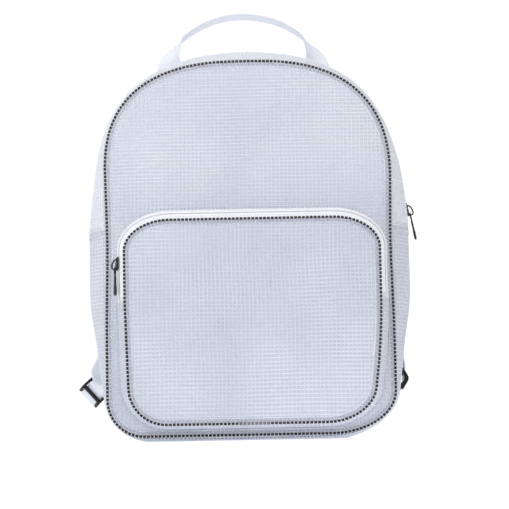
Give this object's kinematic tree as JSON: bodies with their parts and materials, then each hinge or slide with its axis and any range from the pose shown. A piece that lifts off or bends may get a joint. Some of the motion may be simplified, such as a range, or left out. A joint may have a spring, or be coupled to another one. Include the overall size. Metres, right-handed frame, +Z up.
{
  "type": "cleanroom backpack",
  "caption": "Arched backpack of clear film with a white grid, banded piping, a zipped front pocket, a carrying handle and adjustable shoulder straps.",
  "frame": {"origin": "middle of the flat bottom on which the bag stands", "axes": "+Z up, -Y towards the front pocket, +X to the right seen from the front"},
  "size_m": [0.3613, 0.21, 0.4561],
  "materials": {
    "film": "clear film with a white woven grid",
    "zip_tape": "white woven tape and coil",
    "piping": "black and white bands",
    "zip_metal": "black enamel",
    "webbing": "white ribbed webbing",
    "strap": "white, with a woven grid",
    "adjuster": "black moulded"
  },
  "bodies": {
    "bag": {"front_panel": "film", "back_panel": "film", "lower_gusset": "film", "zip_gusset_front": "film", "zip_gusset_back": "film", "pocket_panel": "film", "pocket_lower_gusset": "film", "main_zip": "zip_tape", "pocket_zip": "zip_tape", "front_piping": "piping", "back_piping": "piping", "pocket_piping": "piping", "main_zip_slider": "zip_metal", "pocket_zip_slider": "zip_metal", "handle": "webbing", "strap_webbing_left": "webbing", "strap_webbing_right": "webbing", "shoulder_strap_left": "strap", "shoulder_strap_right": "strap", "adjuster_left": "adjuster", "adjuster_right": "adjuster"},
    "main_pull": {"main_zip_pull": "zip_metal"},
    "pocket_pull": {"pocket_zip_pull": "zip_metal"}
  },
  "joints": [
    {"name": "main_pull_hinge", "type": "hinge", "parent": "bag", "child": "main_pull", "pos_m": [0.16818, 0, 0.23216], "axis": [0, -1, 0], "range_deg": [0, 125]},
    {"name": "pocket_pull_hinge", "type": "hinge", "parent": "bag", "child": "pocket_pull", "pos_m": [-0.13503, -0.07148, 0.17557], "axis": [-0.3386, 0.9409, -0.0036], "range_deg": [0, 135]}
  ]
}
